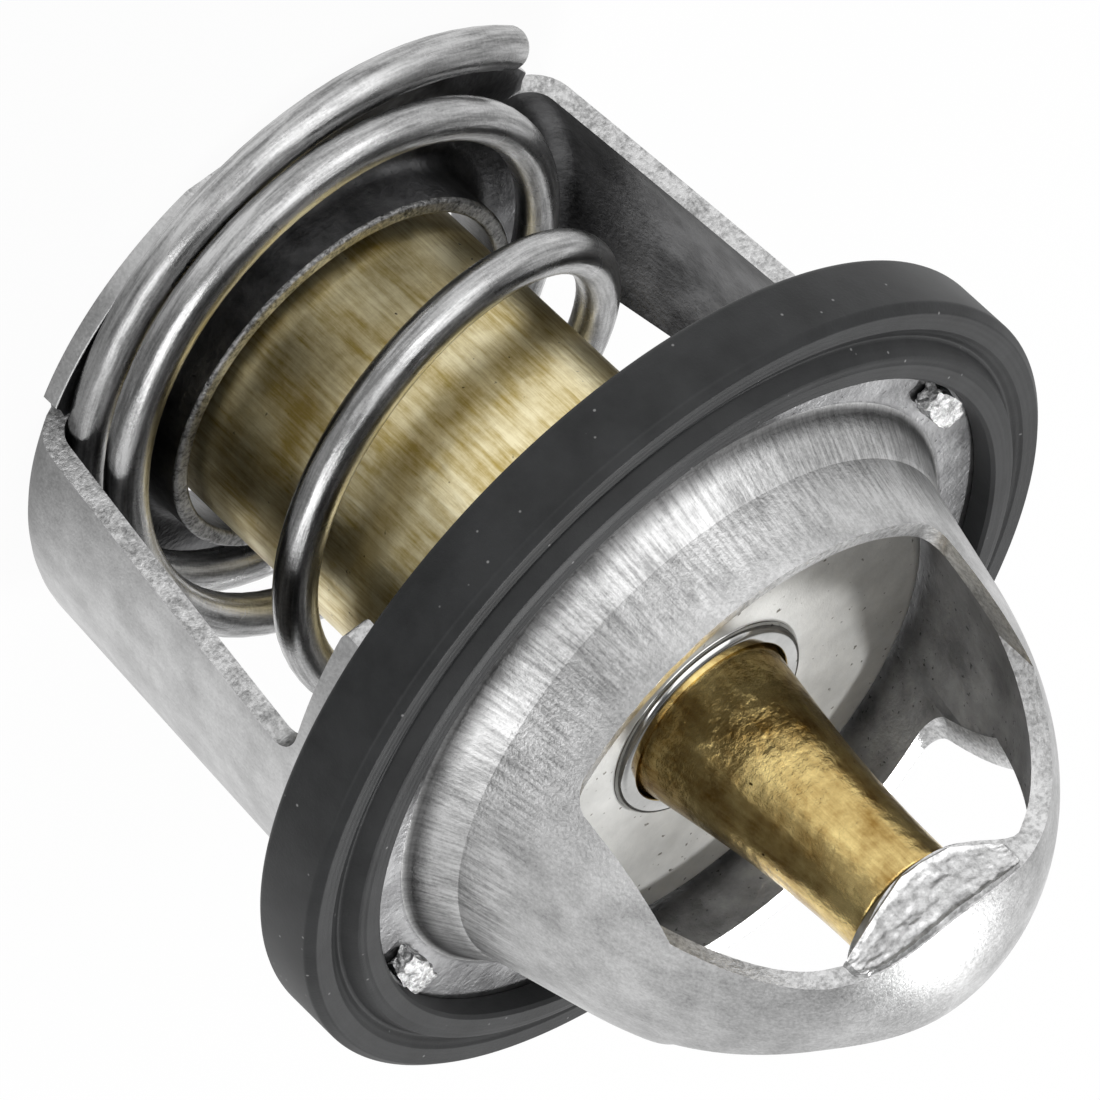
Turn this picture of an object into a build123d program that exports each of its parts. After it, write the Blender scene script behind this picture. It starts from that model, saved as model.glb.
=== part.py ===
"""Wax-element coolant valve for an engine, with its sealing rim.

Millimetres. +Z points out of the bridge (front); the origin is the centre of
the rubber rim, half way through its thickness. The two arms of the bridge and
the two straps of the spring frame lie on +X and -X, the open sides on +Y and -Y.
"""
import os
from math import cos, hypot, pi, sin, sqrt

from build123d import *

os.makedirs("parts", exist_ok=True)

# Running and seating clearances
seat_gap = 0.05
bore_gap = 0.03
plate_gap = 0.08

# Rubber rim, a ring with a channel for the flange; insets are from its outer wall
rim_r = 20.0
rim_width = 3.3
rim_bevel = 0.35
rim_wall = 1.4
lip_clear = 0.24
lip_z = 2.2
lip_round = 0.15
bead_inset = 2.15
bead_slope = 0.4
groove_inset = 1.75
groove_depth = 0.3
face_inset = 1.15

# Bridge: flange, tapered neck and domed arch, drawn from one sheet
bridge_sheet = 0.85
flange_front_z = 1.0
flange_land = 2.2
neck_step = 2.6
neck_root_fillet = 1.1
neck_lean = 1.75
neck_top_z = 8.0
apex_z = 19.15
dome_neck_reach = 6.3
dome_crown_reach = 6.3

# Windows of the bridge, and the arch that they leave
window_base_z = 6.2
window_land = 2.25
window_corner = 0.9
arch_foot = 3.9
arch_waist_x = 5.9
arch_waist = 2.35
arch_crown = 3.5

# Boss inside the apex that takes the tip of the piston
boss_r = 3.05
boss_rim_z = 15.9
boss_flare_r = 5.9
boss_flare_z = 16.75
boss_hollow = 0.25
boss_rim_round = 0.36
socket_depth = 0.6

# Spring frame: two feet under the flange, two straps and the rear plate, from one sheet
frame_sheet = 0.85
foot_half = 10.4
foot_rear_z = -4.5
strap_taper = 0.055
strap_front_half = 4.2
strap_rear_half = 6.1
strap_notch = 1.2
strap_fold = 2.1
plate_rear_z = -23.4
plate_inset = 1.9
plate_trim = 0.8
hole_clear = 0.52
hole_collar_height = 2.8
hole_collar_wall = 0.75
hole_fillet = 1.0

# Two tabs of the feet, pushed through the flange and staked over
tab_angles = (20.9, 205.8)
tab_width = 2.2
tab_root = 0.6
lug_width = 2.9
lug_height = 0.95
lug_overhang = 0.35
lug_round = 0.3

# Valve plate
valve_sheet = 0.9
valve_front_z = 3.0
valve_rim_depth = 2.1
valve_rim_round = 0.9
hub_r = 4.95
hub_height = 0.45
hub_round = 0.36

# Wax element: cup, guide and what they hold; the spring needs its room round the cup
spring_room = 8.47
cup_wall = 0.6
cup_stand = 0.8
cup_rear_round = 0.8
shoulder_step = 0.32
shoulder_depth = 1.5
shoulder_slope = 0.3
shoulder_round = 0.48
crimp_r = 4.8
guide_base_depth = 2.1
guide_hub_r = 4.05
guide_foot_r = 3.95
guide_nose_r = 2.73
guide_nose_z = 15.3
guide_nose_round = 0.25
bell_low = (0.3, 0.55)
bell_high = (0.64, 0.9)
funnel_r = 4.4
funnel_depth = 2.0
diaphragm_thick = 1.0
diaphragm_dimple = 0.6
dimple_r = 3.08
piston_r = 1.9
piston_tip = 0.3
plug_length = 2.4
backup_disc_thick = 0.6

# Return spring, coned; its rear turns are wide, oval and off the centre
wire_d = 1.9
front_coil_clear = 0.7
strap_coil_clear = 0.1
rear_turns = 1.3
active_turns = 2.4
front_turns = 1.0
turn_gap = 0.06
spring_start_angle = -143.0
rear_shift_x = 0.7
rear_shift_y = 1.9
rear_bulge = 1.6
end_flare = 2.8
end_flare_turns = 0.24
flat_turns = 0.45
pitch_run_in = 0.15
narrow_from = 0.1
narrow_to = 0.65
centred_x_turns = 0.7
coil_steps = 8

# Radii that follow from the sizes above
flange_r = rim_r - rim_wall
collar_r = flange_r - flange_land
lip_r = collar_r + lip_clear
neck_root_r = collar_r - neck_step
neck_top_r = neck_root_r - neck_lean
window_half = neck_top_r - window_land
plate_r = collar_r - plate_inset
cup_r = collar_r - spring_room
shoulder_r = cup_r + shoulder_step
guide_hole_r = cup_r + hole_clear
front_coil_r = shoulder_r + front_coil_clear + wire_d / 2

# Levels that follow from the sizes above
flange_rear_z = flange_front_z - bridge_sheet
collar_front_z = flange_rear_z
plate_front_z = plate_rear_z + frame_sheet
hole_collar_z = plate_front_z + hole_collar_height
cup_rear_z = plate_rear_z + cup_stand
valve_rear_z = valve_front_z - valve_sheet
crimp_rear_z = valve_rear_z - cup_wall
guide_base_z = crimp_rear_z - guide_base_depth
diaphragm_rear_z = guide_base_z - diaphragm_thick
funnel_top_z = guide_base_z + funnel_depth
plug_rear_z = funnel_top_z
disc_rear_z = plug_rear_z + plug_length
piston_rear_z = disc_rear_z + backup_disc_thick
piston_front_z = boss_rim_z + socket_depth
bore_r = piston_r + bore_gap
far = 2 * rim_r


def turned(section):
    """A section in r and z, turned about the axis."""
    return revolve(Plane.XZ * section, Axis.Z)


def corner(face, r, z):
    """The corner of a flat section nearest to a point."""
    return face.vertices().sort_by_distance((r, z, 0))[0]


def ring(r_in, r_out, z_low, z_high):
    """A plain ring or disc."""
    if r_in <= 0:
        return Pos(0, 0, z_low) * Cylinder(r_out, z_high - z_low, align=(Align.CENTER, Align.CENTER, Align.MIN))
    return turned(make_face(Polyline((r_in, z_low), (r_out, z_low), (r_out, z_high), (r_in, z_high), close=True)))


# Bridge frame
neck_run = neck_root_r - neck_top_r
neck_rise = neck_top_z - flange_front_z
neck_length = hypot(neck_run, neck_rise)
neck_dir = (-neck_run / neck_length, neck_rise / neck_length)
neck_in = (-neck_dir[1], neck_dir[0])


def neck_r(z, inset=0.0):
    """Radius of the tapered neck at a height, on a face set in from the outer one."""
    return neck_root_r - inset / neck_dir[1] - neck_run * (z - flange_front_z) / neck_rise


def dome_curve(inset):
    """Half of the arch in r and z: it follows the neck's taper and is level at the apex."""
    share = 1 - inset / neck_top_r
    foot = (neck_top_r + inset * neck_in[0], neck_top_z + inset * neck_in[1])
    reach = dome_neck_reach * share
    shoulder = (foot[0] + reach * neck_dir[0], foot[1] + reach * neck_dir[1])
    crown = (dome_crown_reach * share, apex_z - inset)
    return Bezier(foot, shoulder, crown, (0, apex_z - inset))


def bridge_shell():
    """Flange, neck and dome as one turned sheet."""
    outer = dome_curve(0)
    inner = dome_curve(bridge_sheet)
    edge = Polyline(
        inner @ 0,
        (neck_r(flange_rear_z, bridge_sheet), flange_rear_z),
        (flange_r, flange_rear_z),
        (flange_r, flange_front_z),
        (neck_root_r, flange_front_z),
        outer @ 0,
    )
    section = make_face([edge, outer, Line(outer @ 1, inner @ 1), inner])
    section = fillet(corner(section, neck_root_r, flange_front_z), neck_root_fillet)
    inner_root = corner(section, neck_r(flange_rear_z, bridge_sheet), flange_rear_z)
    section = fillet(inner_root, neck_root_fillet + bridge_sheet)
    return turned(section)


def apex_boss():
    """Boss under the apex, flared into the sheet."""
    top_z = apex_z - bridge_sheet / 2
    flank = ThreePointArc(
        (boss_r, boss_rim_z + boss_rim_round),
        ((boss_r + boss_flare_r) / 2 - boss_hollow, (boss_rim_z + boss_flare_z) / 2 + boss_hollow),
        (boss_flare_r, boss_flare_z),
    )
    outline = Polyline((boss_flare_r, boss_flare_z), (0, top_z), (0, boss_rim_z), (boss_r, boss_rim_z), flank @ 0)
    section = make_face([flank, outline])
    section = fillet(corner(section, boss_r, boss_rim_z), boss_rim_round)
    return turned(section)


def bridge_window(side):
    """What the punch takes away on one side, leaving the waisted arch."""
    arch = Spline(
        (-window_half, side * arch_foot),
        (-arch_waist_x, side * arch_waist),
        (0, side * arch_crown),
        (arch_waist_x, side * arch_waist),
        (window_half, side * arch_foot),
    )
    frame = Polyline(arch @ 1, (window_half, side * far), (-window_half, side * far), arch @ 0)
    tool = extrude(Pos(0, 0, window_base_z) * make_face([arch, frame]), apex_z, dir=(0, 0, 1))
    corners = tool.edges().filter_by(Axis.Y).group_by(Axis.Z)[0]
    return fillet(corners, window_corner)


def sector(r_in, r_out, z_low, z_high, angle, width):
    """A block on the circle of the feet, at one tab."""
    block = Box(r_out - r_in, width, z_high - z_low, align=(Align.MIN, Align.CENTER, Align.MIN))
    return Rot(0, 0, angle) * Pos(r_in, 0, z_low) * block


tab_out_r = collar_r
tab_in_r = collar_r - frame_sheet

bridge_frame = bridge_shell() + apex_boss()
bridge_frame -= bridge_window(1)
bridge_frame -= bridge_window(-1)
bridge_frame -= ring(0, piston_r + seat_gap, boss_rim_z - 1, piston_front_z)
for angle in tab_angles:
    slot_in = tab_in_r - seat_gap
    slot_out = tab_out_r + seat_gap
    slot_width = tab_width + 2 * seat_gap
    bridge_frame -= sector(slot_in, slot_out, flange_rear_z - 1, flange_front_z + 1, angle, slot_width)
export_step(bridge_frame, "parts/bridge_frame.step")


# Spring frame
def cone_r(z):
    """Outer radius of the feet and straps, which lean in towards the rear."""
    return collar_r + strap_taper * z


def strap_shell():
    """Feet, straps and fold as one turned sheet."""
    inner_r = plate_r - 2 * strap_fold
    rear_out = cone_r(plate_rear_z)
    rear_in = cone_r(plate_front_z) - frame_sheet
    section = make_face(Polyline(
        (cone_r(collar_front_z), collar_front_z),
        (rear_out, plate_rear_z),
        (inner_r, plate_rear_z),
        (inner_r, plate_front_z),
        (rear_in, plate_front_z),
        (cone_r(collar_front_z) - frame_sheet, collar_front_z),
        close=True,
    ))
    section = fillet(corner(section, rear_out, plate_rear_z), strap_fold)
    section = fillet(corner(section, rear_in, plate_front_z), strap_fold - frame_sheet)
    return turned(section)


def strap_keep():
    """What is left of the turned sheet: on each side a broad foot and a widening strap."""
    low = plate_rear_z - 1
    high = collar_front_z + 1
    outline = make_face(Polyline(
        (-foot_half, high), (foot_half, high), (foot_half, foot_rear_z), (strap_front_half, foot_rear_z),
        (strap_rear_half, plate_rear_z), (strap_rear_half, low), (-strap_rear_half, low),
        (-strap_rear_half, plate_rear_z), (-strap_front_half, foot_rear_z), (-foot_half, foot_rear_z),
        close=True,
    ))
    for side in (1, -1):
        outline = fillet(corner(outline, side * strap_front_half, foot_rear_z), strap_notch)
    return extrude(Plane.YZ * outline, far, both=True)


def rear_plate():
    """Rear plate with the hole for the cup, its edge drawn forward into a collar."""
    tube_r = guide_hole_r + hole_collar_wall
    section = make_face(Polyline(
        (guide_hole_r, hole_collar_z), (guide_hole_r, plate_rear_z), (plate_r, plate_rear_z),
        (plate_r, plate_front_z), (tube_r, plate_front_z), (tube_r, hole_collar_z),
        close=True,
    ))
    section = fillet(corner(section, tube_r, plate_front_z), hole_fillet)
    section = fillet(corner(section, guide_hole_r, plate_rear_z), hole_fillet)
    plate = turned(section)
    plate &= Box(far, 2 * (plate_r - plate_trim), far * 2)
    strap_x = plate_r - strap_fold
    for side in (1, -1):
        gap_box = Box(far, 2 * strap_rear_half, far * 2, align=(Align.MIN, Align.CENTER, Align.CENTER))
        turn = 0 if side > 0 else 180
        plate -= Rot(0, 0, turn) * Pos(strap_x, 0, 0) * gap_box
    return plate


spring_frame = (strap_shell() & strap_keep()) + rear_plate()
for angle in tab_angles:
    spring_frame += sector(tab_in_r, tab_out_r, collar_front_z - tab_root, flange_front_z, angle, tab_width)
    lug_in = tab_in_r - lug_overhang
    lug_out = lip_r - 3 * seat_gap
    lug = sector(lug_in, lug_out, flange_front_z, flange_front_z + lug_height, angle, lug_width)
    spring_frame += fillet(lug.faces().sort_by(Axis.Z)[-1].edges(), lug_round)
export_step(spring_frame, "parts/spring_frame.step")


# Rubber rim
def rubber_rim():
    """Ring with a channel over the flange, a raised lip and a fine groove on its front."""
    half = rim_width / 2
    channel_r = flange_r + seat_gap
    rear_r = collar_r + seat_gap
    front_z = flange_front_z + seat_gap / 2
    rear_z = flange_rear_z - seat_gap / 2
    bead_r = rim_r - bead_inset
    section = make_face(Polyline(
        (rim_r, -half), (rim_r, half - rim_bevel), (rim_r - rim_bevel, half), (rim_r - face_inset, half),
        (rim_r - groove_inset, half - groove_depth), (bead_r, lip_z - lip_round), (bead_r - bead_slope, lip_z),
        (lip_r + lip_round, lip_z), (lip_r, lip_z - lip_round), (lip_r, front_z), (channel_r, front_z),
        (channel_r, rear_z), (rear_r, rear_z), (rear_r, -half),
        close=True,
    ))
    return turned(section)


rim_gasket = rubber_rim()
export_step(rim_gasket, "parts/rim_gasket.step")


# Valve plate
def plate_section():
    """Disc with a turned-back rim and a rounded hub round the guide."""
    rim_out = neck_r(valve_front_z, bridge_sheet) - plate_gap
    rim_in = rim_out - valve_sheet
    skirt_z = valve_front_z - valve_rim_depth
    hole_r = guide_hub_r + seat_gap
    hub_z = valve_front_z + hub_height
    section = make_face(Polyline(
        (hole_r, valve_rear_z), (rim_in, valve_rear_z), (rim_in, skirt_z), (rim_out, skirt_z),
        (rim_out, valve_front_z), (hub_r, valve_front_z), (hub_r, hub_z), (hole_r, hub_z),
        close=True,
    ))
    section = fillet(corner(section, rim_out, valve_front_z), valve_rim_round)
    section = fillet(corner(section, hub_r, hub_z), hub_round)
    return section


valve_plate = turned(plate_section())
export_step(valve_plate, "parts/valve_plate.step")


# Wax element
def cup_section():
    """Brass cup, its mouth widened to a shoulder and crimped in over the guide."""
    in_r = cup_r - cup_wall
    shoulder_z = valve_rear_z - shoulder_depth
    section = make_face(Polyline(
        (0, cup_rear_z), (cup_r, cup_rear_z), (cup_r, shoulder_z - shoulder_slope), (shoulder_r, shoulder_z),
        (shoulder_r, valve_rear_z), (crimp_r, valve_rear_z), (crimp_r, crimp_rear_z),
        (in_r, crimp_rear_z), (in_r, cup_rear_z + cup_wall), (0, cup_rear_z + cup_wall),
        close=True,
    ))
    section = fillet(corner(section, cup_r, cup_rear_z), cup_rear_round)
    section = fillet(corner(section, shoulder_r, valve_rear_z), shoulder_round)
    return section


def guide_section():
    """Brass guide: base held in the cup, bell-shaped tube, and a bore that opens as a funnel."""
    base_r = cup_r - cup_wall - seat_gap
    foot_z = valve_front_z + hub_height / 2
    rise = guide_nose_z - foot_z
    lean = guide_foot_r - guide_nose_r
    bell = Spline(
        (guide_foot_r, foot_z),
        (guide_foot_r - bell_low[1] * lean, foot_z + bell_low[0] * rise),
        (guide_foot_r - bell_high[1] * lean, foot_z + bell_high[0] * rise),
        (guide_nose_r, guide_nose_z),
    )
    outline = Polyline(
        bell @ 1, (bore_r, guide_nose_z), (bore_r, funnel_top_z), (funnel_r, guide_base_z),
        (base_r, guide_base_z), (base_r, crimp_rear_z), (guide_hub_r, crimp_rear_z),
        (guide_hub_r, valve_front_z), bell @ 0,
    )
    section = make_face([bell, outline])
    return fillet(corner(section, guide_nose_r, guide_nose_z), guide_nose_round)


def diaphragm_section():
    """Rubber disc clamped under the guide, dimpled towards the wax."""
    out_r = cup_r - cup_wall - seat_gap
    return make_face(Polyline(
        (0, guide_base_z), (out_r, guide_base_z), (out_r, diaphragm_rear_z), (funnel_r, diaphragm_rear_z),
        (dimple_r, diaphragm_rear_z - diaphragm_dimple), (0, diaphragm_rear_z - diaphragm_dimple),
        close=True,
    ))


def wax_section():
    """Wax pellet that fills the cup up to the diaphragm."""
    out_r = cup_r - cup_wall - seat_gap
    rear_z = cup_rear_z + cup_wall
    return make_face(Polyline(
        (0, rear_z), (out_r, rear_z), (out_r, diaphragm_rear_z), (funnel_r, diaphragm_rear_z),
        (dimple_r, diaphragm_rear_z - diaphragm_dimple), (0, diaphragm_rear_z - diaphragm_dimple),
        close=True,
    ))


def paste_section():
    """Stiff paste in the funnel, between the diaphragm and the plug."""
    return make_face(Polyline(
        (0, guide_base_z), (funnel_r - seat_gap, guide_base_z),
        (bore_r - seat_gap, funnel_top_z - seat_gap), (0, funnel_top_z - seat_gap),
        close=True,
    ))


def piston_section():
    """Ground pin with a chamfer at each end."""
    return make_face(Polyline(
        (0, piston_rear_z), (piston_r - piston_tip, piston_rear_z), (piston_r, piston_rear_z + piston_tip),
        (piston_r, piston_front_z - piston_tip), (piston_r - piston_tip, piston_front_z),
        (0, piston_front_z),
        close=True,
    ))


wax_cup = turned(cup_section())
guide = turned(guide_section())
diaphragm = turned(diaphragm_section())
wax_charge = turned(wax_section())
transfer_paste = turned(paste_section())
piston = turned(piston_section())
rubber_plug = ring(0, piston_r, plug_rear_z, disc_rear_z)
backup_disc = ring(0, piston_r, disc_rear_z, piston_rear_z)
export_step(wax_cup, "parts/wax_cup.step")
export_step(guide, "parts/guide.step")
export_step(diaphragm, "parts/diaphragm.step")
export_step(wax_charge, "parts/wax_charge.step")
export_step(transfer_paste, "parts/transfer_paste.step")
export_step(piston, "parts/piston.step")
export_step(rubber_plug, "parts/rubber_plug.step")
export_step(backup_disc, "parts/backup_disc.step")


# Return spring
def ease(value, start, end):
    """0 before start, 1 after end, and a smooth rise between."""
    share = min(max((value - start) / (end - start), 0), 1)
    return share * share * (3 - 2 * share)


total_turns = rear_turns + active_turns + front_turns
close_pitch = wire_d + turn_gap
spring_rise = valve_rear_z - plate_front_z - wire_d - 2 * seat_gap
open_pitch = (spring_rise - close_pitch * (1 + front_turns)) / active_turns

# The first half turn lies flat, then the wire climbs on to it before the first turn ends
climb_pitch = close_pitch / (1 - flat_turns)

# The rear turns just clear the corners of the nearer strap
strap_reach = cone_r(plate_front_z) - frame_sheet - strap_coil_clear - wire_d / 2
corner_x = sqrt(strap_reach**2 - strap_rear_half**2) - rear_shift_x
corner_y = strap_rear_half - rear_shift_y
corner_r = hypot(corner_x, corner_y)
rear_coil_r = corner_r - rear_bulge * (corner_y / corner_r) ** 2


def step_at(turn, middle):
    """0 before a turn and 1 after it, with the rise run in on both sides."""
    return ease(turn, middle - pitch_run_in, middle + pitch_run_in)


def pitch_at(turn):
    """Rise a turn: flat, then a climb on to the first turn, open, and closed again at the front."""
    climbing = step_at(turn, flat_turns) - step_at(turn, 1)
    opened = step_at(turn, rear_turns)
    closed = step_at(turn, rear_turns + active_turns)
    return climb_pitch * climbing + open_pitch * (opened - closed) + close_pitch * closed


def spring_path():
    """Centre line of the wire: a flared end, oval rear turns, then a narrower coil."""
    steps = round(total_turns * coil_steps)
    z = plate_front_z + wire_d / 2 + seat_gap
    points = []
    for step in range(steps + 1):
        turn = step * total_turns / steps
        angle = (spring_start_angle + 360 * turn) * pi / 180
        narrowing = ease(turn, rear_turns + narrow_from, rear_turns + narrow_to)
        drift_x = 1 - ease(turn, rear_turns, rear_turns + centred_x_turns)
        drift_y = 1 - ease(turn, rear_turns - pitch_run_in, rear_turns + active_turns)
        flare = end_flare * max(1 - turn / end_flare_turns, 0) ** 2
        oval = rear_bulge * sin(angle) ** 2
        radius = (rear_coil_r + oval) * (1 - narrowing) + front_coil_r * narrowing + flare
        x = rear_shift_x * drift_x + radius * cos(angle)
        y = -rear_shift_y * drift_y + radius * sin(angle)
        points.append((x, y, z))
        z += pitch_at(turn + total_turns / steps / 2) * total_turns / steps
    return Spline(*points)


wire_path = spring_path()
wire_start = Plane(origin=wire_path @ 0, z_dir=wire_path % 0)
return_spring = sweep(wire_start * Circle(wire_d / 2), path=wire_path)
export_step(return_spring, "parts/return_spring.step")
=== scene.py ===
import math

import bmesh
import bpy
from mathutils import Matrix, Vector, geometry, noise


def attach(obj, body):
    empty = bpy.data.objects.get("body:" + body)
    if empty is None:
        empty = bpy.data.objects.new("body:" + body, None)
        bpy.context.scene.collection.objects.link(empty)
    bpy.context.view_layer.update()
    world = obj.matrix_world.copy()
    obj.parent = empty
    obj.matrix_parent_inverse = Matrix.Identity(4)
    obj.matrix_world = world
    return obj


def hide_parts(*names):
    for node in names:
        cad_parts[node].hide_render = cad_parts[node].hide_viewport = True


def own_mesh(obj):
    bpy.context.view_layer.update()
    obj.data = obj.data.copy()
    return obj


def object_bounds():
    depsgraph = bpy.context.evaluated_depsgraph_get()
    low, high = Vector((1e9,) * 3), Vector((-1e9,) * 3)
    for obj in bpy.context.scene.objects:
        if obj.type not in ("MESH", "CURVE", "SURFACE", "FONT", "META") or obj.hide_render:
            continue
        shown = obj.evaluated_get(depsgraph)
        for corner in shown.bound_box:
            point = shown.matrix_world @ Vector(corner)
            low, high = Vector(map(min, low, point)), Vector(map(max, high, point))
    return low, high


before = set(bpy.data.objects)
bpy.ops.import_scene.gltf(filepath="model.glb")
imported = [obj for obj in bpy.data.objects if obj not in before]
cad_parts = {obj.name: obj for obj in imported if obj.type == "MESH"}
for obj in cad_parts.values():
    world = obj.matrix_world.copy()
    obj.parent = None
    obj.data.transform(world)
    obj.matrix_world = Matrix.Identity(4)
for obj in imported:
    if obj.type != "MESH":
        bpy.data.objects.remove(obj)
cad_bounds = [list(corner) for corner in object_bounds()]

# Camera
# A long lens that looks at the valve nearly side on, 25 degrees above its rim,
# and is rolled so that the bridge points down to the right.
MM = 0.001
azimuth = math.radians(-67.5)
elevation = math.radians(24.704)
distance = 400.0 * MM
roll = math.radians(133.338)
aim_right = -0.565 * MM
aim_up = -6.548 * MM
focal_px = 9761.6
frame_px = 1100

place = distance * Vector((
    math.cos(elevation) * math.cos(azimuth),
    math.cos(elevation) * math.sin(azimuth),
    math.sin(elevation),
))
up_axis = Vector((0, 0, 1))
side = (-place).cross(up_axis).normalized()
aim = aim_right * side + aim_up * side.cross(-place.normalized())
forward = (aim - place).normalized()
side = forward.cross(up_axis).normalized()
upward = side.cross(forward)
right_edge = math.cos(roll) * side + math.sin(roll) * upward
top_edge = -math.sin(roll) * side + math.cos(roll) * upward

camera_data = bpy.data.cameras.new("camera")
camera_data.sensor_width = 36
camera_data.lens = focal_px * camera_data.sensor_width / frame_px
camera_data.clip_start = 0.01
camera_data.clip_end = 10
camera = bpy.data.objects.new("camera", camera_data)
bpy.context.scene.collection.objects.link(camera)
turn = Matrix((right_edge, top_edge, -forward)).transposed()
camera.matrix_world = Matrix.Translation(place) @ turn.to_4x4()
bpy.context.scene.camera = camera
bpy.context.scene.view_settings.view_transform = "Standard"


# Floor, world and lamps
# A matt white sweep under a pale sky that darkens overhead, with a black card
# beside the camera; two large soft boxes and a small hard lamp from behind.
def add(tree, kind, inputs=None, **settings):
    """A node with its settings; an input is a value, or the socket that feeds it."""
    node = tree.nodes.new(kind)
    for name, value in settings.items():
        setattr(node, name, value)
    for name, value in (inputs or {}).items():
        if isinstance(value, bpy.types.NodeSocket):
            tree.links.new(value, node.inputs[name])
        else:
            node.inputs[name].default_value = value
    return node


def colour(hex_code):
    """An sRGB hex colour as linear red, green, blue and alpha."""
    channels = [int(hex_code[i:i + 2], 16) / 255 for i in (1, 3, 5)]
    linear = [c / 12.92 if c <= 0.04045 else ((c + 0.055) / 1.055) ** 2.4 for c in channels]
    return (*linear, 1.0)


def new_tree(name):
    """An empty material and its node tree."""
    material = bpy.data.materials.new(name)
    material.use_nodes = True
    material.node_tree.nodes.clear()
    return material, material.node_tree


def new_finish(name):
    """An empty material, its node tree, and the place on the object in millimetres."""
    material, tree = new_tree(name)
    where = add(tree, "ShaderNodeTexCoord").outputs["Object"]
    to_mm = (1 / MM, 1 / MM, 1 / MM)
    in_mm = add(tree, "ShaderNodeMapping", {"Vector": where, "Scale": to_mm}).outputs[0]
    return material, tree, in_mm


def noise_at(tree, place, scale, detail=4.0, roughness=0.6, flat=False):
    """Fractal noise from 0 to 1 with a number of cells a millimetre."""
    return add(tree, "ShaderNodeTexNoise", {
        "Vector": place, "Scale": scale, "Detail": detail, "Roughness": roughness,
    }, noise_dimensions="2D" if flat else "3D").outputs["Fac"]


def span(tree, value, low, high, to_low=0.0, to_high=1.0):
    """A value between two limits, carried over to another range and clamped."""
    return add(tree, "ShaderNodeMapRange", {
        "Value": value, "From Min": low, "From Max": high, "To Min": to_low, "To Max": to_high,
    }).outputs[0]


def maths(tree, operation, first, second=0.0):
    """One sum or other operation on two values."""
    return add(tree, "ShaderNodeMath", {0: first, 1: second}, operation=operation).outputs[0]


def blend(tree, share, dark, light):
    """A colour between two; each is a hex code or the socket of another colour."""
    ends = [colour(end) if isinstance(end, str) else end for end in (dark, light)]
    return add(tree, "ShaderNodeMix", {"Factor": share, "A": ends[0], "B": ends[1]},
               data_type="RGBA").outputs["Result"]


def relief(tree, height, depth_mm, under=None):
    """Bumps of a depth in millimetres, on top of other bumps."""
    inputs = {"Height": height, "Strength": 1.0, "Distance": depth_mm * MM}
    if under is not None:
        inputs["Normal"] = under
    return add(tree, "ShaderNodeBump", inputs).outputs[0]


def shine(tree, **inputs):
    """The Principled shader of a finish, wired to its output."""
    sockets = {name.replace("_", " "): value for name, value in inputs.items()}
    shader = add(tree, "ShaderNodeBsdfPrincipled", sockets)
    add(tree, "ShaderNodeOutputMaterial", {"Surface": shader.outputs[0]})


card_azimuth = math.radians(-25)
# Cosines of the angles from the card's middle where its shade starts and is full.
card_cosines = (0.75, 0.97)


def soft_span(tree, value, low, high, to_low, to_high):
    """A value carried over from one range to another, with soft ends."""
    return add(tree, "ShaderNodeMapRange", {
        "Value": value, "From Min": low, "From Max": high, "To Min": to_low, "To Max": to_high,
    }, interpolation_type="SMOOTHSTEP").outputs[0]


def card_shade(tree, direction, low):
    """1 all round the studio but for a lower level towards the black card."""
    flat = add(tree, "ShaderNodeVectorMath", {0: direction, 1: (1.0, 1.0, 0.0)},
               operation="MULTIPLY").outputs[0]
    unit = add(tree, "ShaderNodeVectorMath", {0: flat}, operation="NORMALIZE").outputs[0]
    to_card = (math.cos(card_azimuth), math.sin(card_azimuth), 0.0)
    towards = add(tree, "ShaderNodeVectorMath", {0: unit, 1: to_card},
                  operation="DOT_PRODUCT").outputs["Value"]
    return soft_span(tree, towards, *card_cosines, 1.0, low)


def background_ray(tree):
    """1 for a ray that sees the background: straight, in a reflection or through glass."""
    path = add(tree, "ShaderNodeLightPath").outputs
    first = maths(tree, "MAXIMUM", path["Is Camera Ray"], path["Is Glossy Ray"])
    return maths(tree, "MAXIMUM", first, path["Is Transmission Ray"])


floor_z = cad_bounds[0][2]
floor_r = 3.0
floor_glow = 0.95
floor_card_level = 0.35
floor_gap = 0.02
floor_mesh = bpy.data.meshes.new("floor")
bm = bmesh.new()
bmesh.ops.create_circle(bm, cap_ends=True, segments=96, radius=floor_r)
bmesh.ops.translate(bm, verts=bm.verts, vec=(0, 0, floor_z - floor_gap * MM))
bm.to_mesh(floor_mesh)
bm.free()
floor = bpy.data.objects.new("floor", floor_mesh)
bpy.context.scene.collection.objects.link(floor)

floor_material, tree = new_tree("matt_white_sweep")
paper = add(tree, "ShaderNodeBsdfDiffuse", {"Color": colour("#f2f2f2")})
place_on_floor = add(tree, "ShaderNodeTexCoord").outputs["Object"]
seen = add(tree, "ShaderNodeLightPath").outputs["Is Camera Ray"]
level = maths(tree, "MAXIMUM", card_shade(tree, place_on_floor, floor_card_level), seen)
glow = add(tree, "ShaderNodeEmission", {"Color": colour("#ffffff"), "Strength": level})
share = maths(tree, "MULTIPLY", background_ray(tree), floor_glow)
mixed = add(tree, "ShaderNodeMixShader", {0: share, 1: paper.outputs[0], 2: glow.outputs[0]})
add(tree, "ShaderNodeOutputMaterial", {"Surface": mixed.outputs[0]})
floor_mesh.materials.append(floor_material)

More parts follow.
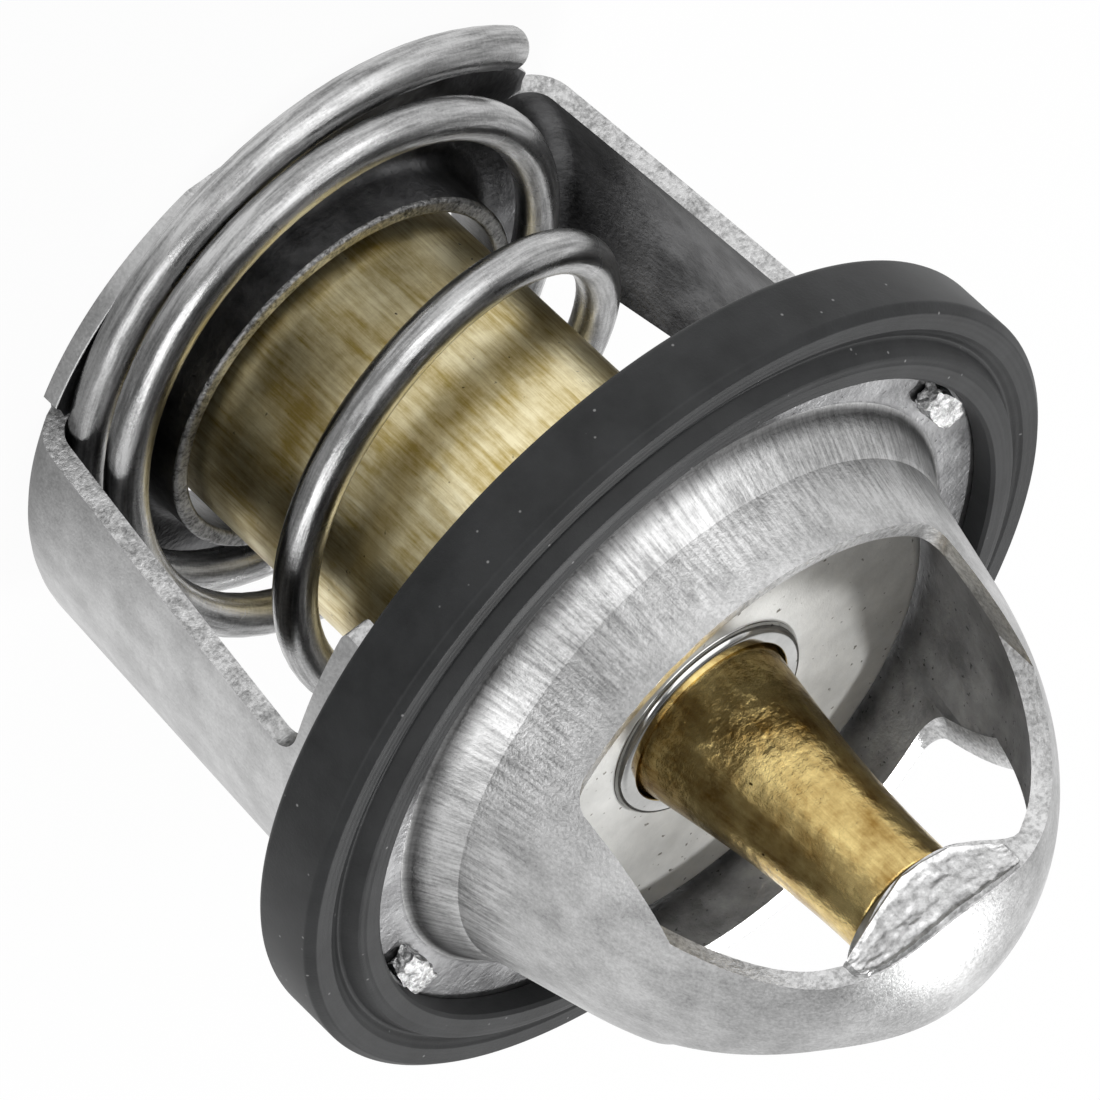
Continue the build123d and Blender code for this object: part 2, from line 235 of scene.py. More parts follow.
sky_heights = (0.38, 0.85)
sky_levels = (0.9, 0.25)
sky_card_level = 0.4
sky_light_share = 0.6
world = bpy.data.worlds.new("studio")
bpy.context.scene.world = world
world.use_nodes = True
tree = world.node_tree
tree.nodes.clear()
towards = add(tree, "ShaderNodeTexCoord").outputs["Generated"]
height = add(tree, "ShaderNodeSeparateXYZ", {"Vector": towards}).outputs["Z"]
sky = soft_span(tree, height, *sky_heights, *sky_levels)
level = maths(tree, "MULTIPLY", sky, card_shade(tree, towards, sky_card_level))
dim = span(tree, background_ray(tree), 0.0, 1.0, sky_light_share, 1.0)
seen = add(tree, "ShaderNodeLightPath").outputs["Is Camera Ray"]
strength = maths(tree, "MAXIMUM", maths(tree, "MULTIPLY", level, dim), seen)
backdrop = add(tree, "ShaderNodeBackground", {"Color": colour("#ffffff"), "Strength": strength})
add(tree, "ShaderNodeOutputWorld", {"Surface": backdrop.outputs[0]})


def soft_box(name, azimuth_deg, elevation_deg, away, size, watts):
    """A rectangular lamp that faces the middle of the valve."""
    lamp = bpy.data.lights.new(name, "AREA")
    lamp.shape = "RECTANGLE"
    lamp.size, lamp.size_y = size
    lamp.energy = watts
    box = bpy.data.objects.new(name, lamp)
    flat = math.cos(math.radians(elevation_deg))
    box.location = away * Vector((
        flat * math.cos(math.radians(azimuth_deg)),
        flat * math.sin(math.radians(azimuth_deg)),
        math.sin(math.radians(elevation_deg)),
    ))
    box.rotation_euler = box.location.to_track_quat("Z", "Y").to_euler()
    bpy.context.scene.collection.objects.link(box)


soft_box("key_box", -106, 36, 0.5, (0.6, 0.6), 1.6)
soft_box("fill_box", -20, 25, 0.6, (0.5, 0.4), 1.3)
soft_box("back_lamp", 110, 57, 0.5, (0.05, 0.05), 1.3)


# Bridge frame
# Flange, tapered neck and waisted arch, drawn from 0.85 mm stainless sheet and
# punched on two sides; a solid boss under the apex takes the piston's tip.
SPIN_STEPS = 288


def rounded(corners, closed=True, steps=5):
    """An outline in r and z through corners (r, z, radius), each rounded by an arc."""
    points = []
    count = len(corners)
    for i, (r, z, radius) in enumerate(corners):
        here = Vector((r, z))
        if radius == 0 or (not closed and i in (0, count - 1)):
            points.append(here)
            continue
        back = (Vector(corners[i - 1][:2]) - here).normalized()
        ahead = (Vector(corners[(i + 1) % count][:2]) - here).normalized()
        half = back.angle(ahead) / 2
        reach = radius / math.tan(half)
        centre = here + (back + ahead).normalized() * (radius / math.sin(half))
        start = here + back * reach - centre
        sweep = math.pi - 2 * half
        if back.x * ahead.y - back.y * ahead.x > 0:
            sweep = -sweep
        for k in range(steps + 1):
            points.append(centre + Matrix.Rotation(sweep * k / steps, 2) @ start)
    return points


def turned(name, outline, closed=True, steps=SPIN_STEPS):
    """A closed shell made by turning an outline, in millimetres, about the axis."""
    bm = bmesh.new()
    verts = [bm.verts.new((point[0] * MM, 0, point[1] * MM)) for point in outline]
    for first, second in zip(verts, verts[1:]):
        bm.edges.new((first, second))
    if closed:
        bm.edges.new((verts[-1], verts[0]))
    bmesh.ops.spin(bm, geom=bm.verts[:] + bm.edges[:], cent=(0, 0, 0), axis=(0, 0, 1),
                   angle=2 * math.pi, steps=steps, use_merge=True)
    bmesh.ops.remove_doubles(bm, verts=bm.verts, dist=0.0005 * MM)
    bmesh.ops.recalc_face_normals(bm, faces=bm.faces)
    return piece_from(name, bm)


def piece_from(name, bm):
    """An object at the origin, made from a finished bmesh."""
    mesh = bpy.data.meshes.new(name)
    bm.to_mesh(mesh)
    bm.free()
    piece = bpy.data.objects.new(name, mesh)
    bpy.context.scene.collection.objects.link(piece)
    return piece


def smooth(piece, angle=35):
    """Smooth shading, with edges sharper than the angle kept."""
    for face in piece.data.polygons:
        face.use_smooth = True
    piece.data.set_sharp_from_angle(angle=math.radians(angle))


def combine(piece, tool, operation):
    """The piece cut by, kept inside or joined to a tool, whose material goes on its own faces."""
    change = piece.modifiers.new("combine", "BOOLEAN")
    change.operation = operation
    change.object = tool
    change.solver = "EXACT"
    change.material_mode = "TRANSFER"
    cut = piece.evaluated_get(bpy.context.evaluated_depsgraph_get())
    result = bpy.data.meshes.new_from_object(cut)
    piece.modifiers.clear()
    piece.data = result
    bpy.data.objects.remove(tool)


def round_place(tree, in_mm, radius_mm, stretch):
    """Distance round the axis and, shrunk, along it: the place for marks that run along it."""
    axes = add(tree, "ShaderNodeSeparateXYZ", {"Vector": in_mm})
    angle = maths(tree, "ARCTAN2", axes.outputs["Y"], axes.outputs["X"])
    along = maths(tree, "MULTIPLY", axes.outputs["Z"], stretch)
    around = maths(tree, "MULTIPLY", angle, radius_mm)
    place = add(tree, "ShaderNodeCombineXYZ", {"X": around, "Y": along})
    return place.outputs[0], axes.outputs["Z"]


def steel_sheet(name, light_hex, dark_hex, radius_mm, scored):
    """Tumbled stainless sheet: frosted grey with a grain of 0.15 mm and faint clouds, draw
    scores along the axis at the scored heights, and a dark painted reflection in the corner on the
    flange."""
    material, tree, in_mm = new_finish(name)
    place, up = round_place(tree, in_mm, radius_mm, 0.12)
    scores = noise_at(tree, place, 4.2, 4.0, 0.7, flat=True)
    fine = noise_at(tree, in_mm, 6.5, 3.0, 0.65)
    clouds = noise_at(tree, in_mm, 0.5, 4.0, 0.6)
    in_scores = maths(tree, "MULTIPLY", span(tree, up, scored[0] - 0.2, scored[0]),
                      span(tree, up, scored[1], scored[1] + 1.6, 1.0, 0.12))
    contrast = maths(tree, "MULTIPLY", span(tree, scores, 0.35, 0.65, -0.24, 0.24), in_scores)
    tone = maths(tree, "ADD", maths(tree, "ADD", contrast, clouds),
                 maths(tree, "MULTIPLY", fine, 0.8))
    clean = blend(tree, span(tree, tone, 0.55, 1.15), dark_hex, light_hex)
    # Painted reflection: the corner just above the flange is darkened where the rubber lip shows
    # dark in the metal.
    painted_reflection_in_corner = maths(tree, "MULTIPLY", span(tree, up, 1.02, 1.15),
                      span(tree, up, 1.3, 1.9, 0.75, 0.0))
    shade = blend(tree, painted_reflection_in_corner, clean, "#3d3d3d")
    rough = maths(tree, "SUBTRACT", span(tree, fine, 0.3, 0.7, 0.4, 0.52),
                  maths(tree, "MULTIPLY", in_scores, 0.1))
    grooves = relief(tree, maths(tree, "MULTIPLY", scores, in_scores), 0.01)
    shine(tree, Base_Color=shade, Metallic=1.0, Roughness=rough,
          Normal=relief(tree, fine, 0.02, grooves))
    return material


def shaded_dull_side(name, light_hex, dark_hex):
    """Inner side of the drawn sheet: never tumbled, and darker also as painted shade, with stains
    and small pits.
    """
    material, tree, in_mm = new_finish(name)
    clouds = noise_at(tree, in_mm, 0.45, 5.0, 0.6)
    pits = noise_at(tree, in_mm, 3.5, 3.0, 0.6)
    shade = blend(tree, span(tree, clouds, 0.35, 0.7), dark_hex, light_hex)
    pitted = blend(tree, span(tree, pits, 0.28, 0.36), "#4c4c4d", shade)
    shine(tree, Base_Color=pitted, Metallic=1.0, Roughness=0.36, Normal=relief(tree, pits, 0.03))
    return material


def sheared_edge(name, light_hex, dark_hex, grain_mm):
    """Cut, torn or mashed steel: bright where the tool rubbed it, granular where it broke."""
    material, tree, in_mm = new_finish(name)
    grain = noise_at(tree, in_mm, 4.5, 4.0, 0.7)
    patches = noise_at(tree, in_mm, 1.1, 3.0, 0.6)
    tone = maths(tree, "ADD", maths(tree, "MULTIPLY", grain, 0.6),
                 maths(tree, "MULTIPLY", patches, 0.4))
    shade = blend(tree, span(tree, tone, 0.38, 0.58), dark_hex, light_hex)
    bumps = relief(tree, grain, grain_mm)
    shine(tree, Base_Color=shade, Metallic=1.0, Roughness=0.34, Normal=bumps)
    return material


bridge_sheet = 0.85
flange_r = 18.6
flange_top = 1.0
neck_root = (13.8, flange_top)
neck_top = (12.05, 8.0)
apex_z = 19.15
dome_reach = 6.3
window_base = 6.2
window_half = 9.8

neck_line = Vector((neck_top[0] - neck_root[0], neck_top[1] - neck_root[1])).normalized()
neck_inward = Vector((-neck_line.y, neck_line.x))
neck_lean = neck_line.x / neck_line.y


def dome(inset, count=40):
    """Half of the arch in r and z, from the neck to the apex, set in from the outside."""
    share = 1 - inset / neck_top[0]
    foot = Vector(neck_top) + inset * neck_inward
    shoulder = foot + dome_reach * share * neck_line
    crown = Vector((dome_reach * share, apex_z - inset))
    top = Vector((0, apex_z - inset))
    return [Vector(point[:2]) for point in geometry.interpolate_bezier(
        foot.to_3d(), shoulder.to_3d(), crown.to_3d(), top.to_3d(), count)]


flange_under = flange_top - bridge_sheet
neck_inner_r = neck_root[0] - bridge_sheet / neck_line.y
inner_root_r = neck_inner_r + (flange_under - flange_top) * neck_lean
inner_neck = Vector(neck_top) + bridge_sheet * neck_inward
neck_corner_r = 14.45
crease_z = 2.9
crease_r = neck_root[0] + (crease_z - neck_root[1]) * neck_lean
flange_part = rounded([
    (*inner_neck, 0), (inner_root_r, flange_under, 1.95), (flange_r, flange_under, 0.1),
    (flange_r, flange_top, 0.1), (neck_corner_r, flange_top, 0.6),
    (crease_r + 0.07, crease_z - 0.1, 0.12),
    (crease_r - 0.04, crease_z + 0.06, 0.05), (*neck_top, 0),
], closed=False, steps=8)
inner_dome = dome(bridge_sheet)
boss_reach = 5.4
inner_part = [point for point in reversed(inner_dome) if point.x > boss_reach]
boss_corner = (3.8, 15.85)
boss_end = 15.6
boss_under = [Vector(point[:2]) for point in geometry.interpolate_bezier(
    inner_part[0].to_3d(), Vector((4.95, 17.3, 0)), Vector((4.35, 16.3, 0)),
    Vector((*boss_corner, 0)), 8)]
boss_under += rounded(
    [(*boss_corner, 0), (boss_corner[0] - 0.25, boss_end, 0.2), (0, boss_end, 0)], closed=False)[1:]
outline = [Vector((0, apex_z))] + list(reversed(dome(0)))[1:-1] + list(reversed(flange_part))
outline += list(reversed(inner_part))[1:-1] + boss_under
outline = [outline[0]] + [
    point for last, point in zip(outline, outline[1:]) if (point - last).length > 0.001]

bridge = turned("bridge_frame_sheet", outline, closed=False)
bridge_steel = steel_sheet("tumbled_stainless_bridge", "#cfcfcf", "#8e8e8e", 13.0, (1.2, 4.4))
# The inner faces get a darker copy of the steel: partly an untumbled finish, partly painted shade.
shaded_inner_steel = shaded_dull_side("untumbled_shaded_stainless", "#b0b0b1", "#7b7b7c")
punched_steel = sheared_edge("punched_stainless_edge", "#e6e6e6", "#a4a4a4", 0.03)
bridge.data.materials.append(bridge_steel)


def arch_half(x):
    """Half the width of the arch seen from the front, at a distance from the middle."""
    waist_x, waist, crown, foot = 5.9, 2.35, 3.5, 3.9
    away = abs(x)
    if away < waist_x:
        share = away / waist_x
        return crown + (waist - crown) * share * share * (3 - 2 * share)
    share = (away - waist_x) / (window_half - waist_x)
    return waist + (foot - waist) * share ** 1.6


def window_floor(x, y):
    """Height of the window's base: square to the leaning sheet, with rounded ends."""
    end_r = 0.9
    past = min(max(abs(x) - (window_half - end_r), 0), end_r)
    outer_r = neck_root[0] + (window_base - flange_top) * neck_lean
    sunk = min(max(outer_r - math.hypot(x, y), 0), 2) * -neck_lean
    return window_base - sunk + end_r - math.sqrt(end_r ** 2 - past ** 2)


window_out = 15
window_top = 26
xs = [window_half * math.sin(math.pi / 2 * (2 * k / 72 - 1)) for k in range(73)]
shares = [k / 24 for k in range(25)]
for direction in (1, -1):
    bm = bmesh.new()
    rows = []
    for x in xs:
        ys = [direction * (arch_half(x) + (window_out - arch_half(x)) * share) for share in shares]
        low = [bm.verts.new((x * MM, y * MM, window_floor(x, y) * MM)) for y in ys]
        rows.append(low + [bm.verts.new((x * MM, y * MM, window_top * MM)) for y in reversed(ys)])
    for row, after in zip(rows, rows[1:]):
        for k in range(len(row)):
            following = (k + 1) % len(row)
            bm.faces.new((row[k], row[following], after[following], after[k]))
    bm.faces.new(rows[0])
    bm.faces.new(rows[-1])
    bmesh.ops.recalc_face_normals(bm, faces=bm.faces)
    tool = piece_from("window_tool", bm)
    tool.data.materials.append(punched_steel)
    combine(bridge, tool, "DIFFERENCE")


def split_sides(piece, middle, finish):
    """Gives the faces of the sheet that look towards a middle their own finish."""
    piece.data.materials.append(finish)
    for face in piece.data.polygons:
        if face.material_index == 0 and face.normal.dot(face.center - middle) < 0:
            face.material_index = len(piece.data.materials) - 1


split_sides(bridge, Vector((0, 0, 4 * MM)), shaded_inner_steel)


def crushed_boss(way):
    """Broken face where the punch went through the boss: a dished lens with a raised rim."""
    lens = bmesh.new()
    low_edge = (
        (-4.85, 16.75), (-3.0, 16.15), (-0.8, 15.55), (1.65, 15.72), (2.9, 16.4), (3.85, 17.1))
    top = dome(0.04, 160)
    columns, rows = 72, 30
    verts = []
    for i in range(columns + 1):
        x = low_edge[0][0] + (low_edge[-1][0] - low_edge[0][0]) * i / columns
        before = max(k for k in range(len(low_edge) - 1) if low_edge[k][0] <= x)
        share = (x - low_edge[before][0]) / (low_edge[before + 1][0] - low_edge[before][0])
        z_low = low_edge[before][1] + (low_edge[before + 1][1] - low_edge[before][1]) * share
        reach = math.hypot(x, arch_half(x))
        z_top = min(top, key=lambda point: abs(point.x - reach)).y
        end = min(i, columns - i) / columns
        z_top = z_low + (z_top - z_low) * min(1.0, 0.35 + (end / 0.08) ** 0.5)
        line = []
        for j in range(rows + 1):
            edge = min(end * 2.4, min(j, rows - j) / rows, 0.5)
            rim = math.exp(-((edge - 0.07) / 0.05) ** 2)
            spot = Vector((x, 0, z_low + j * 0.1)) * 1.6 + Vector((7, 0, 3))
            rough = noise.fractal(spot, 0.8, 2.2, 4)
            lift = -0.08 + 0.13 * min(edge / 0.06, 1)
            lift += 0.13 * rim + 0.09 * rough * min(edge / 0.12, 1)
            z = z_low + (z_top - z_low) * j / rows
            line.append(lens.verts.new((way * x * MM, way * (arch_half(x) + lift) * MM, z * MM)))
        verts.append(line)
    for i in range(columns):
        for j in range(rows):
            lens.faces.new((verts[i][j], verts[i + 1][j], verts[i + 1][j + 1], verts[i][j + 1]))
    for face in lens.faces:
        face.material_index = 3
        if face.normal.y * way < 0:
            face.normal_flip()
    mesh = bpy.data.meshes.new("crushed_boss")
    lens.to_mesh(mesh)
    lens.free()
    return mesh


pressed_steel = sheared_edge("pressed_stainless_boss", "#e4e4e4", "#a8a8a8", 0.025)
bridge.data.materials.append(pressed_steel)
bm = bmesh.new()
bm.from_mesh(bridge.data)
bm.from_mesh(crushed_boss(-1))
bm.from_mesh(crushed_boss(1))
bm.to_mesh(bridge.data)
bm.free()
smooth(bridge)
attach(bridge, "frame")
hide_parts("bridge_frame")


# Spring frame
# Two feet, two straps and a rear plate stamped from one stainless sheet; the
# plate's hole is drawn forward, and two tabs of the feet are staked over.
frame_sheet = 0.85
collar_r = 16.4
collar_front = flange_under
foot_half = 10.4
foot_rear = -4.5
strap_taper = 0.055
strap_half = (4.2, 6.1)
plate_rear = -23.4
plate_front = plate_rear + frame_sheet
plate_r = 14.5
plate_half = 13.7
strap_fold = 2.1


def cone(z):
    """Outer radius of the collar and the straps at a height."""
    return collar_r + strap_taper * z


shell_outline = rounded([
    (cone(collar_front), collar_front, 0.1), (cone(plate_rear), plate_rear, strap_fold),
    (plate_r - 2 * strap_fold, plate_rear, 0), (plate_r - 2 * strap_fold, plate_front, 0),
    (cone(plate_front) - frame_sheet, plate_front, strap_fold - frame_sheet),
    (cone(collar_front) - frame_sheet, collar_front, 0.1),
], steps=8)
spring_frame = turned("spring_frame_sheet", shell_outline)
frame_steel = steel_sheet("tumbled_stainless_frame", "#d6d6d6", "#a8a8a8", 15.5, (-60, -58))
spring_frame.data.materials.append(frame_steel)


def prism(name, outline, axis_turn, length):
    """A flat outline in millimetres, pulled to both sides of its plane."""
    bm = bmesh.new()
    face = bm.faces.new([bm.verts.new((p[0] * MM, p[1] * MM, -length / 2 * MM)) for p in outline])
    raised = bmesh.ops.extrude_face_region(bm, geom=[face])
    bmesh.ops.translate(bm, verts=[v for v in raised["geom"] if isinstance(v, bmesh.types.BMVert)],
                        vec=(0, 0, length * MM))
    bmesh.ops.transform(bm, matrix=axis_turn, verts=bm.verts)
    bmesh.ops.recalc_face_normals(bm, faces=bm.faces)
    return piece_from(name, bm)


# Outline x goes to Y, outline y to Z, and the pull runs along X.
ACROSS = Matrix(((0, 0, 1, 0), (1, 0, 0, 0), (0, 1, 0, 0), (0, 0, 0, 1)))
keep_top = 5
keep_rear = plate_rear - 2
keep = rounded([
    (-foot_half, keep_top, 0), (foot_half, keep_top, 0),
    (foot_half, foot_rear, 0.3), (strap_half[0], foot_rear, 1.2),
    (strap_half[1], plate_rear, 0), (strap_half[1], keep_rear, 0),
    (-strap_half[1], keep_rear, 0), (-strap_half[1], plate_rear, 0),
    (-strap_half[0], foot_rear, 1.2), (-foot_half, foot_rear, 0.3),
], steps=8)
sheared_steel = sheared_edge("sheared_stainless_strap", "#d0d0d0", "#868686", 0.05)
tool = prism("strap_tool", keep, ACROSS, 50)
tool.data.materials.append(sheared_steel)
combine(spring_frame, tool, "INTERSECT")

hole_r = 8.45
hole_wall = 0.75
hole_front = -19.75
hole_out = hole_r + hole_wall
plate_outline = rounded([
    (hole_r, hole_front, 0.2), (hole_r, plate_rear, 1.0), (plate_r, plate_rear, 0.08),
    (plate_r, plate_front, 0.08), (hole_out, plate_front, 1.0), (hole_out, hole_front, 0.2),
], steps=6)
rear_plate = turned("rear_plate", plate_outline)
rear_plate.data.materials.append(frame_steel)
strap_x = plate_r - strap_fold
past_plate = 25
at_plate = Matrix.Translation((0, 0, plate_rear * MM))
room_side = [
    (strap_x, strap_half[1]), (strap_x + 0.12, strap_half[1] + 0.5),
    (strap_x + 0.45, strap_half[1] + 1.0), (past_plate, 9),
]
room = [(x, -y) for x, y in room_side] + room_side[::-1]
for way in (1, -1):
    slab = prism("strap_room", [(way * x, way * y) for x, y in room], at_plate, 10)
    slab.data.materials.append(sheared_steel)
    combine(rear_plate, slab, "DIFFERENCE")
trim_outline = [
    (-past_plate, -plate_half), (past_plate, -plate_half),
    (past_plate, plate_half), (-past_plate, plate_half),
]
trim = prism("plate_trim", trim_outline, at_plate, 12)
trim.data.materials.append(sheared_steel)
combine(rear_plate, trim, "INTERSECT")
combine(spring_frame, rear_plate, "UNION")
torn_steel = sheared_edge("torn_stainless_collar", "#b4b4b4", "#414141", 0.1)
# The inner faces and the drawn collar get a darker copy of the steel: partly scale, partly painted
# shade.
scaled_shaded_steel = shaded_dull_side("scaled_shaded_stainless", "#747475", "#3c3c3d")
split_sides(spring_frame, Vector((0, 0, -12 * MM)), scaled_shaded_steel)
spring_frame.data.materials.append(torn_steel)
torn_depth = 0.3
for face in spring_frame.data.polygons:
    off_axis = math.hypot(face.center.x, face.center.y)
    if off_axis < (hole_out + 1.1) * MM and face.center.z > plate_front * MM:
        face.material_index = 3 if face.center.z > (hole_front - torn_depth) * MM else 2


def crumpled_lug(angle, width):
    """A staked tab: a block in the flange, mashed into uneven facets, as a mesh."""
    lug = bmesh.new()
    bmesh.ops.create_cube(lug, size=1.0)
    bmesh.ops.scale(lug, vec=(1.3 * MM, width * MM, 0.95 * MM), verts=lug.verts)
    bmesh.ops.subdivide_edges(lug, edges=lug.edges[:], cuts=11, use_grid_fill=True)
    for v in lug.verts:
        push = noise.noise_vector(v.co * 1900 + Vector((angle, 0, 0)))
        push += noise.noise_vector(v.co * 4200 + Vector((0, angle, 0))) * 0.5
        flatten = 1 - 0.25 * (abs(v.co.y) / (width / 2 * MM)) ** 2
        v.co = Vector((v.co.x * flatten, v.co.y, v.co.z * flatten)) + push * 0.16 * MM
    bmesh.ops.translate(lug, verts=lug.verts, vec=(15.8 * MM, 0, (flange_top + 0.45) * MM))
    bmesh.ops.rotate(lug, verts=lug.verts, cent=(0, 0, 0),
                     matrix=Matrix.Rotation(math.radians(angle), 3, "Z"))
    for face in lug.faces:
        face.material_index = 4
    mesh = bpy.data.meshes.new("lug")
    lug.to_mesh(mesh)
    lug.free()
    return mesh


lug_width = 2.9
lug_seed = 3
# A fixed seed gives both tabs the same facets each run.
noise.seed_set(lug_seed)
bm = bmesh.new()
bm.from_mesh(spring_frame.data)
for lug_angle in (20.9, 205.8):
    bm.from_mesh(crumpled_lug(lug_angle, lug_width))
bm.to_mesh(spring_frame.data)
bm.free()
crushed_steel = sheared_edge("crushed_stainless_lug", "#dedede", "#6f6f6f", 0.09)
spring_frame.data.materials.append(crushed_steel)
smooth(spring_frame)
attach(spring_frame, "frame")
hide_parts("spring_frame")


# Rubber rim
# Moulded ring of black nitrile rubber, stretched over the flange. Its front has
# a raised inner lip, a fine groove and faint rings left by the mould.
rim_r = 20.0
rim_half = 1.65
lip_r = 16.64
lip_z = 2.2
groove_r = 18.25
groove_depth = 0.3
side_play = 0.05
face_play = 0.03
channel_r = flange_r + side_play
rim_outline = rounded([
    (rim_r, -rim_half, 0.35), (rim_r, rim_half - 0.35, 0.2), (rim_r - 0.35, rim_half, 0.2),
    (groove_r + 0.6, rim_half, 0.12), (groove_r, rim_half - groove_depth, 0.15),
    (groove_r - 0.4, lip_z - 0.1, 0.1), (groove_r - 0.8, lip_z, 0.1),
    (lip_r + 0.15, lip_z, 0.08), (lip_r, lip_z - 0.15, 0.05), (lip_r, flange_top + face_play, 0),
    (channel_r, flange_top + face_play, 0), (channel_r, flange_under - face_play, 0),
    (collar_r + side_play, flange_under - face_play, 0), (collar_r + side_play, -rim_half, 0.1),
], steps=6)
rim = turned("rim_gasket_ring", rim_outline)

rubber, tree, in_mm = new_finish("moulded_nitrile_rubber")
axes = add(tree, "ShaderNodeSeparateXYZ", {"Vector": in_mm})
flat = add(tree, "ShaderNodeCombineXYZ", {"X": axes.outputs["X"], "Y": axes.outputs["Y"]})
radius = add(tree, "ShaderNodeVectorMath", {0: flat.outputs[0]},
             operation="LENGTH").outputs["Value"]
clouds = noise_at(tree, in_mm, 0.35, 5.0, 0.6)
grain = noise_at(tree, in_mm, 7.0, 3.0, 0.7)
dust = add(tree, "ShaderNodeTexVoronoi", {"Vector": in_mm, "Scale": 1.3})
speck = span(tree, dust.outputs["Distance"], 0.05, 0.1, 1.0, 0.0)
chosen = add(tree, "ShaderNodeSeparateColor", {"Color": dust.outputs["Color"]}).outputs[0]
specks = maths(tree, "MULTIPLY", speck, maths(tree, "GREATER_THAN", chosen, 0.6))
ring_step = 0.28
shade = blend(tree, span(tree, clouds, 0.35, 0.65), "#191a1b", "#28292a")
dusty = blend(tree, maths(tree, "MULTIPLY", specks, 0.7), shade, "#8d8d8d")
wave = maths(tree, "SINE", maths(tree, "MULTIPLY", radius, 2 * math.pi / ring_step))
marks = maths(tree, "ADD", maths(tree, "MULTIPLY", wave, 0.25), grain)
shine(tree, Base_Color=dusty, Roughness=0.5, Specular_IOR_Level=0.3,
      Normal=relief(tree, marks, 0.012))
rim.data.materials.append(rubber)
smooth(rim, 50)
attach(rim, "frame")
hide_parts("rim_gasket")


# Valve plate
# Zinc-plated steel disc that closes the neck, its edge turned back and its hub
# rolled up into a rounded collar, rubbed bright, round the guide.
valve_top = 3.0
valve_sheet = 0.9
seat_gap = 0.08
valve_r = neck_inner_r + (valve_top - flange_top) * neck_lean - seat_gap
valve_under = valve_top - valve_sheet
turned_back = valve_top - 2.1
hub_r = 4.95
hub_top = valve_top + 0.45
guide_hub_r = 4.05
plate_hole_r = guide_hub_r + 0.05
valve_outline = rounded([
    (plate_hole_r, valve_under, 0), (valve_r - valve_sheet, valve_under, 0.3),
    (valve_r - valve_sheet, turned_back, 0), (valve_r, turned_back, 0.1), (valve_r, valve_top, 0.9),
    (hub_r, valve_top, 0.12), (hub_r, hub_top, 0.36), (plate_hole_r, hub_top, 0.1),
], steps=8)
valve_plate = turned("valve_plate_disc", valve_outline)


def polished_steel(name, light_hex, dark_hex, roughness):
    """Bright rolled steel, near a mirror, with light cloudy stains and specks of dirt."""
    material, tree, in_mm = new_finish(name)
    clouds = noise_at(tree, in_mm, 0.3, 5.0, 0.6)
    specks = noise_at(tree, in_mm, 2.4, 2.0, 0.5)
    shade = blend(tree, span(tree, clouds, 0.35, 0.65), dark_hex, light_hex)
    dirty = blend(tree, span(tree, specks, 0.25, 0.3), "#5a5650", shade)
    bumps = relief(tree, clouds, 0.02)
    shine(tree, Base_Color=dirty, Metallic=1.0, Roughness=roughness, Normal=bumps)
    return material


def worn_zinc(name):
    """Bright zinc plate rubbed dull in use: pale and satin, with clouds and specks of dirt."""
    material, tree, in_mm = new_finish(name)
    clouds = noise_at(tree, in_mm, 0.4, 5.0, 0.6)
    specks = noise_at(tree, in_mm, 2.6, 2.0, 0.5)
    fine = noise_at(tree, in_mm, 6.0, 3.0, 0.6)
    shade = blend(tree, span(tree, clouds, 0.35, 0.65), "#c6c6c3", "#dededb")
    dirty = blend(tree, span(tree, specks, 0.26, 0.31), "#6a665e", shade)
    shine(tree, Base_Color=dirty, Metallic=0.5, Roughness=0.32, Normal=relief(tree, fine, 0.01))
    return material


valve_plate.data.materials.append(worn_zinc("worn_bright_zinc_plate"))
hub_steel = polished_steel("burnished_plate_hub", "#d6d6d4", "#b8b8b6", 0.12)
valve_plate.data.materials.append(hub_steel)
for face in valve_plate.data.polygons:
    if math.hypot(face.center.x, face.center.y) < (hub_r + 0.03) * MM:
        face.material_index = 1
smooth(valve_plate, 40)
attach(valve_plate, "valve")
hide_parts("valve_plate")


# Wax cup
# Deep-drawn brass cup, satin from tumbling, with fine scores along its wall; their
# dark streaks are partly painted reflections.
# Its mouth is crimped in over the guide's base.
cup_r = 7.93
cup_wall = 0.6
cup_rear = -22.6
cup_inner_r = cup_r - cup_wall
crimp_under = valve_under - cup_wall
crimp_r = 8.25
mouth_r = 4.8
cup_outline = rounded([
    (0, cup_rear, 0), (cup_r, cup_rear, 0.8),
    (cup_r, valve_under - 1.8, 0.2), (crimp_r, valve_under - 1.5, 0.2),
    (crimp_r, valve_under, 0.48), (mouth_r, valve_under, 0.1),
    (mouth_r, crimp_under, 0), (cup_inner_r, crimp_under, 0),
    (cup_inner_r, cup_rear + cup_wall, 0.3), (0, cup_rear + cup_wall, 0),
], closed=False, steps=8)
cup = turned("wax_cup_shell", cup_outline, closed=False)


